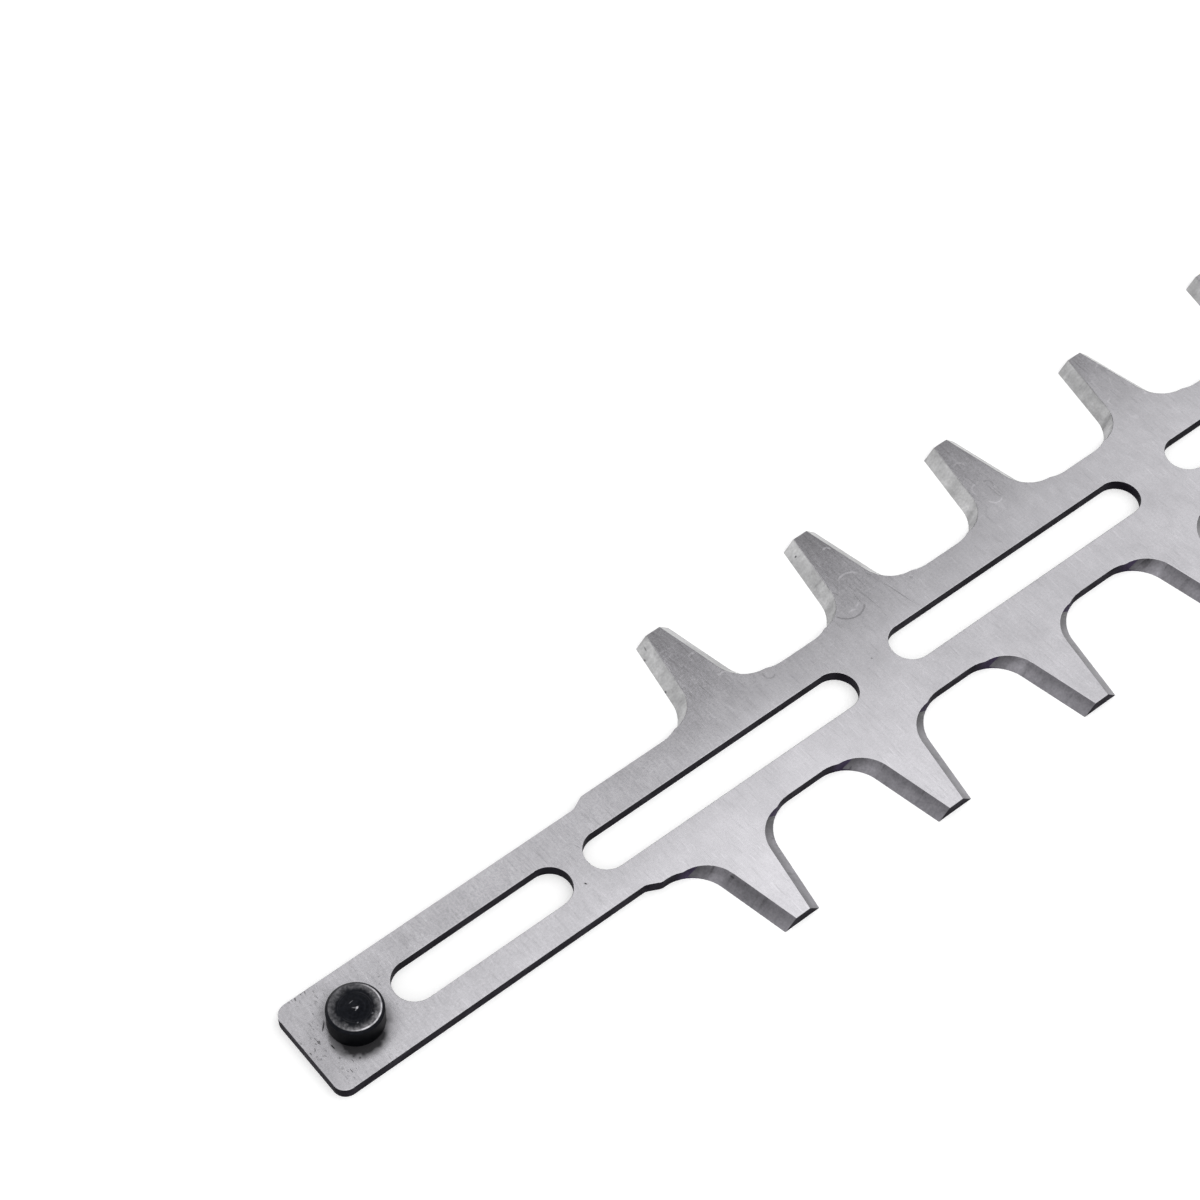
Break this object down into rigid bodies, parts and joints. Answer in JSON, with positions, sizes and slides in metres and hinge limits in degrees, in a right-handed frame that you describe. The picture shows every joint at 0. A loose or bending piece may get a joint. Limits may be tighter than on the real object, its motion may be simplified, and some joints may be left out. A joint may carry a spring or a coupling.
{
  "type": "hedge trimmer blade",
  "caption": "Double-sided toothed steel cutting blade with ground bevels, guide slots and a riveted drive pin at its heel.",
  "frame": {"origin": "the drive pin's axis where it meets the plane of the flat sliding face", "axes": "+X along the blade from the pin to the nose, +Z along the pin, from the flat face to the bevelled face, +Y across the blade to the row with one tooth less"},
  "size_m": [0.6599, 0.052, 0.0056],
  "materials": {
    "ground_steel": "ground, worn bright, dark punched edges",
    "black_oxide_steel": "black oxide, rubbed bright round its top edge"
  },
  "bodies": {
    "root": {"blade": "ground_steel", "drive_pin": "black_oxide_steel"}
  },
  "joints": []
}
